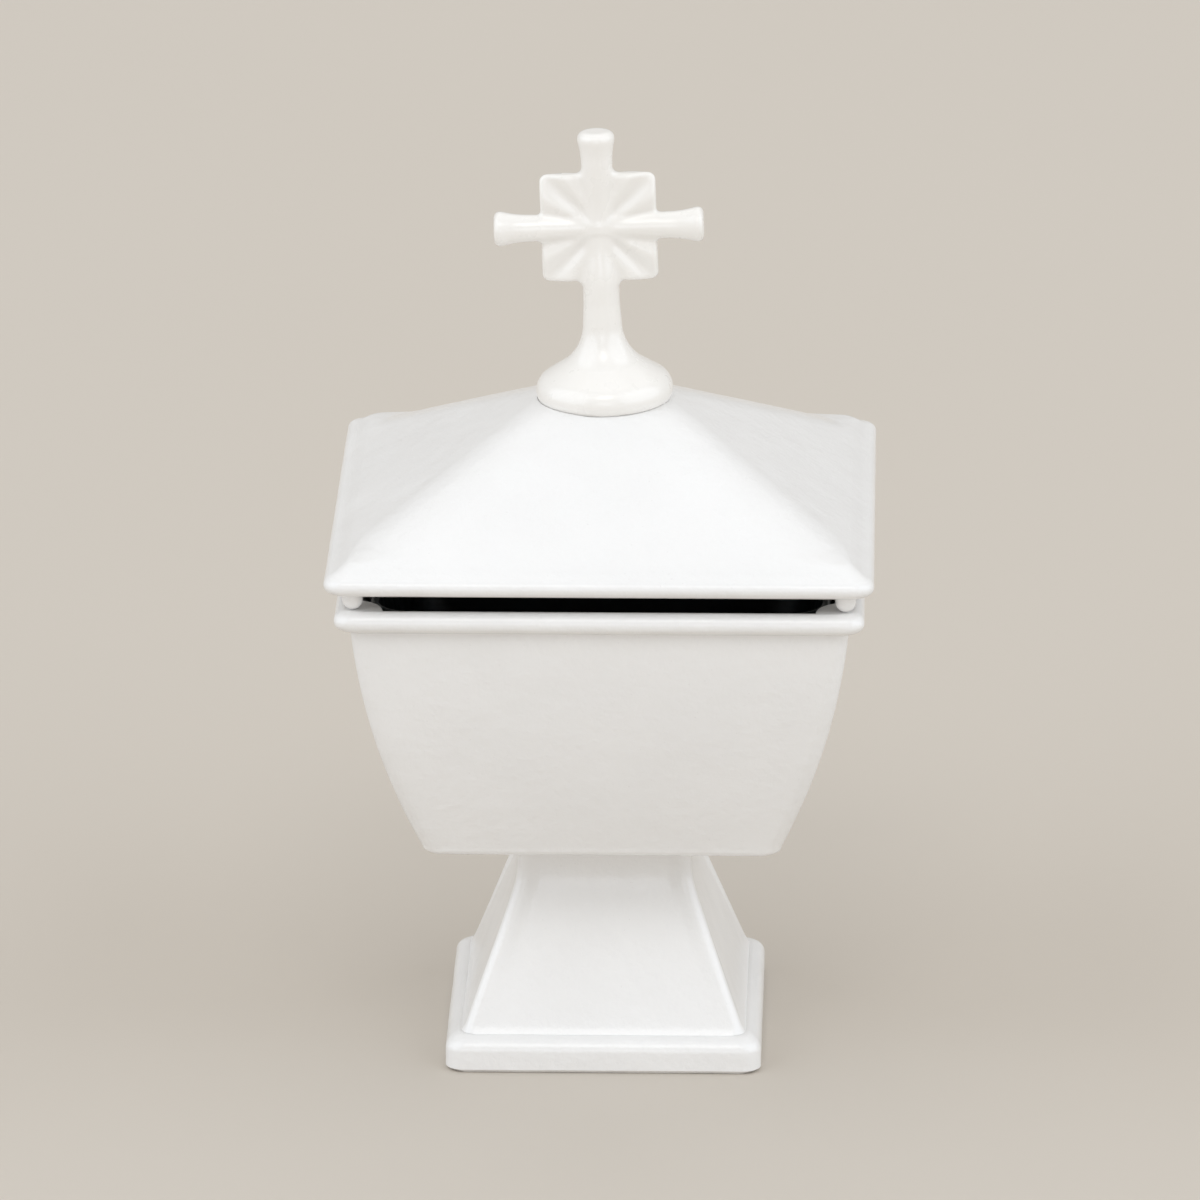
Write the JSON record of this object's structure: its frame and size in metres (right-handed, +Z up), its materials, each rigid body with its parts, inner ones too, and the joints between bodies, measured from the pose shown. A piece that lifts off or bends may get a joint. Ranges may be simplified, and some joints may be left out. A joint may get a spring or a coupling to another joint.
{
  "type": "ciborium vessel",
  "caption": "Square lidded vessel on a flared pedestal foot, with a tapered bowl, a lift-out dark liner and a hipped lid that stands on corner pegs and carries a cross finial.",
  "frame": {"origin": "centre of the foot's flat underside, on the surface that the vessel stands on", "axes": "+Z up through the bowl and the lid, +X to the vessel's right and +Y to its back; the flat face of the cross looks along -Y"},
  "size_m": [0.0862, 0.0862, 0.1498],
  "materials": {
    "white_enamel": "gloss",
    "finial_enamel": "gloss",
    "liner_enamel": "gloss",
    "plain_steel": "satin"
  },
  "bodies": {
    "vessel": {"foot": "white_enamel", "bowl": "white_enamel", "foot_screw": "plain_steel", "foot_washer": "plain_steel", "foot_nut": "plain_steel"},
    "liner": {"liner": "liner_enamel"},
    "lid": {"lid": "white_enamel", "lid_peg_front_left": "white_enamel", "lid_peg_front_right": "white_enamel", "lid_peg_back_left": "white_enamel", "lid_peg_back_right": "white_enamel", "finial_cross": "finial_enamel", "finial_screw": "plain_steel", "finial_washer": "plain_steel"}
  },
  "joints": [
    {"name": "lid_lift", "type": "slide", "parent": "vessel", "child": "lid", "axis": [0, 0, 1], "range_m": [0, 0.11]},
    {"name": "liner_lift", "type": "slide", "parent": "vessel", "child": "liner", "axis": [0, 0, 1], "range_m": [0, 0.05]}
  ],
  "couplings": [
    {"joint": "liner_lift", "follows": "lid_lift", "ratio": 0.45}
  ]
}
